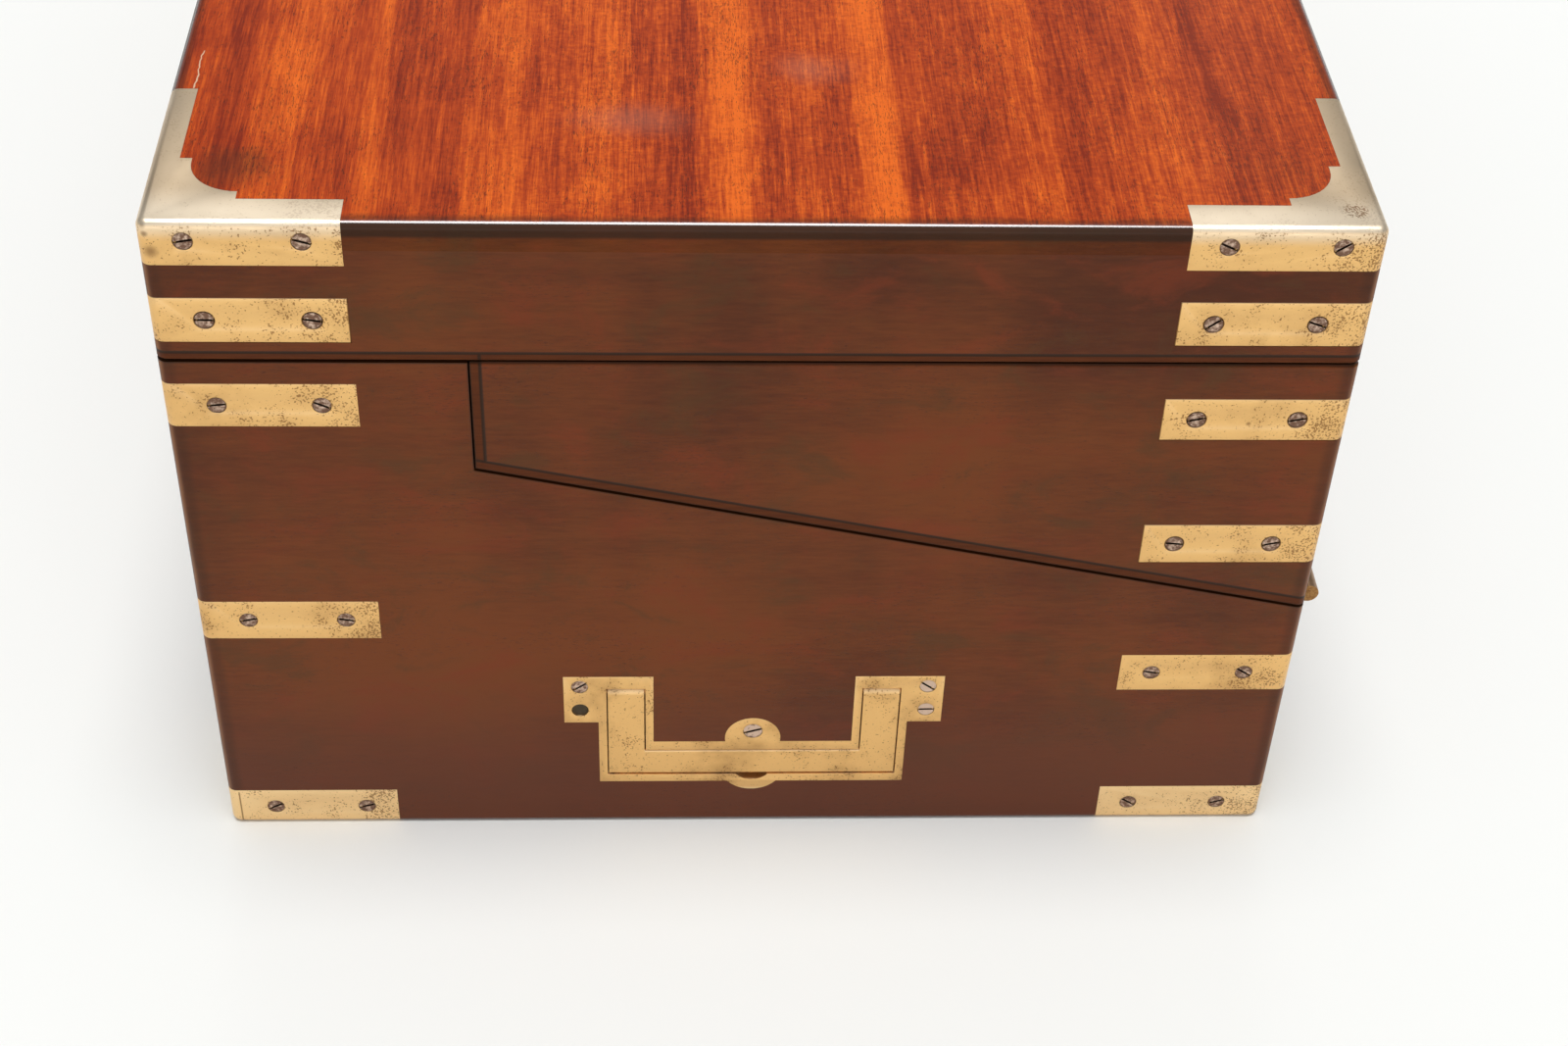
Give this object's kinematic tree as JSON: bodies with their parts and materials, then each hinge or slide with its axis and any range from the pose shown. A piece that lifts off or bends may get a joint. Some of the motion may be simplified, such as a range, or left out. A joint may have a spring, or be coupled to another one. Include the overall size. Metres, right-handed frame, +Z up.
{
  "type": "writing slope",
  "caption": "Brass-bound mahogany campaign writing box with a hinged lid, a wedge-shaped front slope section, flush end handles, an inkwell block and a box lock.",
  "frame": {"origin": "middle of the footprint on the surface that the box stands on", "axes": "+X along the box to the right-hand end, -Y to the front where the slope section is hinged, +Z up"},
  "size_m": [0.508, 0.2758, 0.186],
  "materials": {
    "mahogany": "waxed dark brown mahogany",
    "figured_mahogany": "french-polished figured red mahogany",
    "inner_mahogany": "unpolished mahogany",
    "brass": "worn, pitted brass",
    "screw_steel": "tarnished screws and pins",
    "inkwell_glass": "clear cut glass",
    "writing_leather": "dark green skiver leather",
    "lining_cloth": "dull purple velvet"
  },
  "bodies": {
    "case": {"base_bottom": "inner_mahogany", "base_left_end": "mahogany", "base_right_end": "mahogany", "base_front": "mahogany", "base_back": "mahogany", "step_board": "inner_mahogany", "compartment_floor": "inner_mahogany", "compartment_dividers": "inner_mahogany", "tray_ledges": "inner_mahogany", "pen_tray": "inner_mahogany", "inkwell_bottles": "inkwell_glass", "inkwell_collars": "brass", "slope_left_end": "mahogany", "slope_right_end": "mahogany", "slope_front": "mahogany", "slope_back": "mahogany", "slope_top": "mahogany", "slope_lipping": "mahogany", "upper_writing_board": "inner_mahogany", "upper_leather": "writing_leather", "lower_writing_board": "inner_mahogany", "lower_leather": "writing_leather", "board_rest_strips": "inner_mahogany", "slope_straps": "brass", "base_straps": "brass", "lid_hinge_lower_leaves": "brass", "slope_hinge_lower_leaves": "brass", "slope_hinge_upper_leaves": "brass", "lock_case": "brass", "lock_escutcheon": "brass", "left_handle_plate": "brass", "right_handle_plate": "brass"},
    "lid": {"lid_top": "figured_mahogany", "lid_left_end": "mahogany", "lid_right_end": "mahogany", "lid_front": "mahogany", "lid_back": "mahogany", "lid_lipping": "mahogany", "lid_lining": "lining_cloth", "corner_brasses_front": "brass", "corner_brasses_back": "brass", "lid_straps": "brass", "lid_hinge_upper_leaves": "brass", "lock_link_plate": "brass"},
    "left_handle": {"left_bail": "brass"},
    "right_handle": {"right_bail": "brass"},
    "left_cap": {"left_inkwell_cap": "brass"},
    "right_cap": {"right_inkwell_cap": "brass"},
    "bolt": {"lock_bolt": "brass"}
  },
  "joints": [
    {"name": "lid_hinge", "type": "hinge", "parent": "case", "child": "lid", "pos_m": [0, 0.1354, 0.1494], "axis": [-1, 0, 0], "range_deg": [0, 100]},
    {"name": "left_handle_pivot", "type": "hinge", "parent": "case", "child": "left_handle", "pos_m": [-0.2517, 0, 0.0454], "axis": [0, 1, 0], "range_deg": [0, 90]},
    {"name": "right_handle_pivot", "type": "hinge", "parent": "case", "child": "right_handle", "pos_m": [0.2517, 0, 0.0454], "axis": [0, -1, 0], "range_deg": [0, 90]},
    {"name": "left_cap_hinge", "type": "hinge", "parent": "case", "child": "left_cap", "pos_m": [-0.22, 0.116, 0.1372], "axis": [-1, 0, 0], "range_deg": [0, 95]},
    {"name": "right_cap_hinge", "type": "hinge", "parent": "case", "child": "right_cap", "pos_m": [0.22, 0.116, 0.1372], "axis": [-1, 0, 0], "range_deg": [0, 95]},
    {"name": "lock_bolt_slide", "type": "slide", "parent": "case", "child": "bolt", "axis": [1, 0, 0], "range_m": [0, 0.004]}
  ]
}
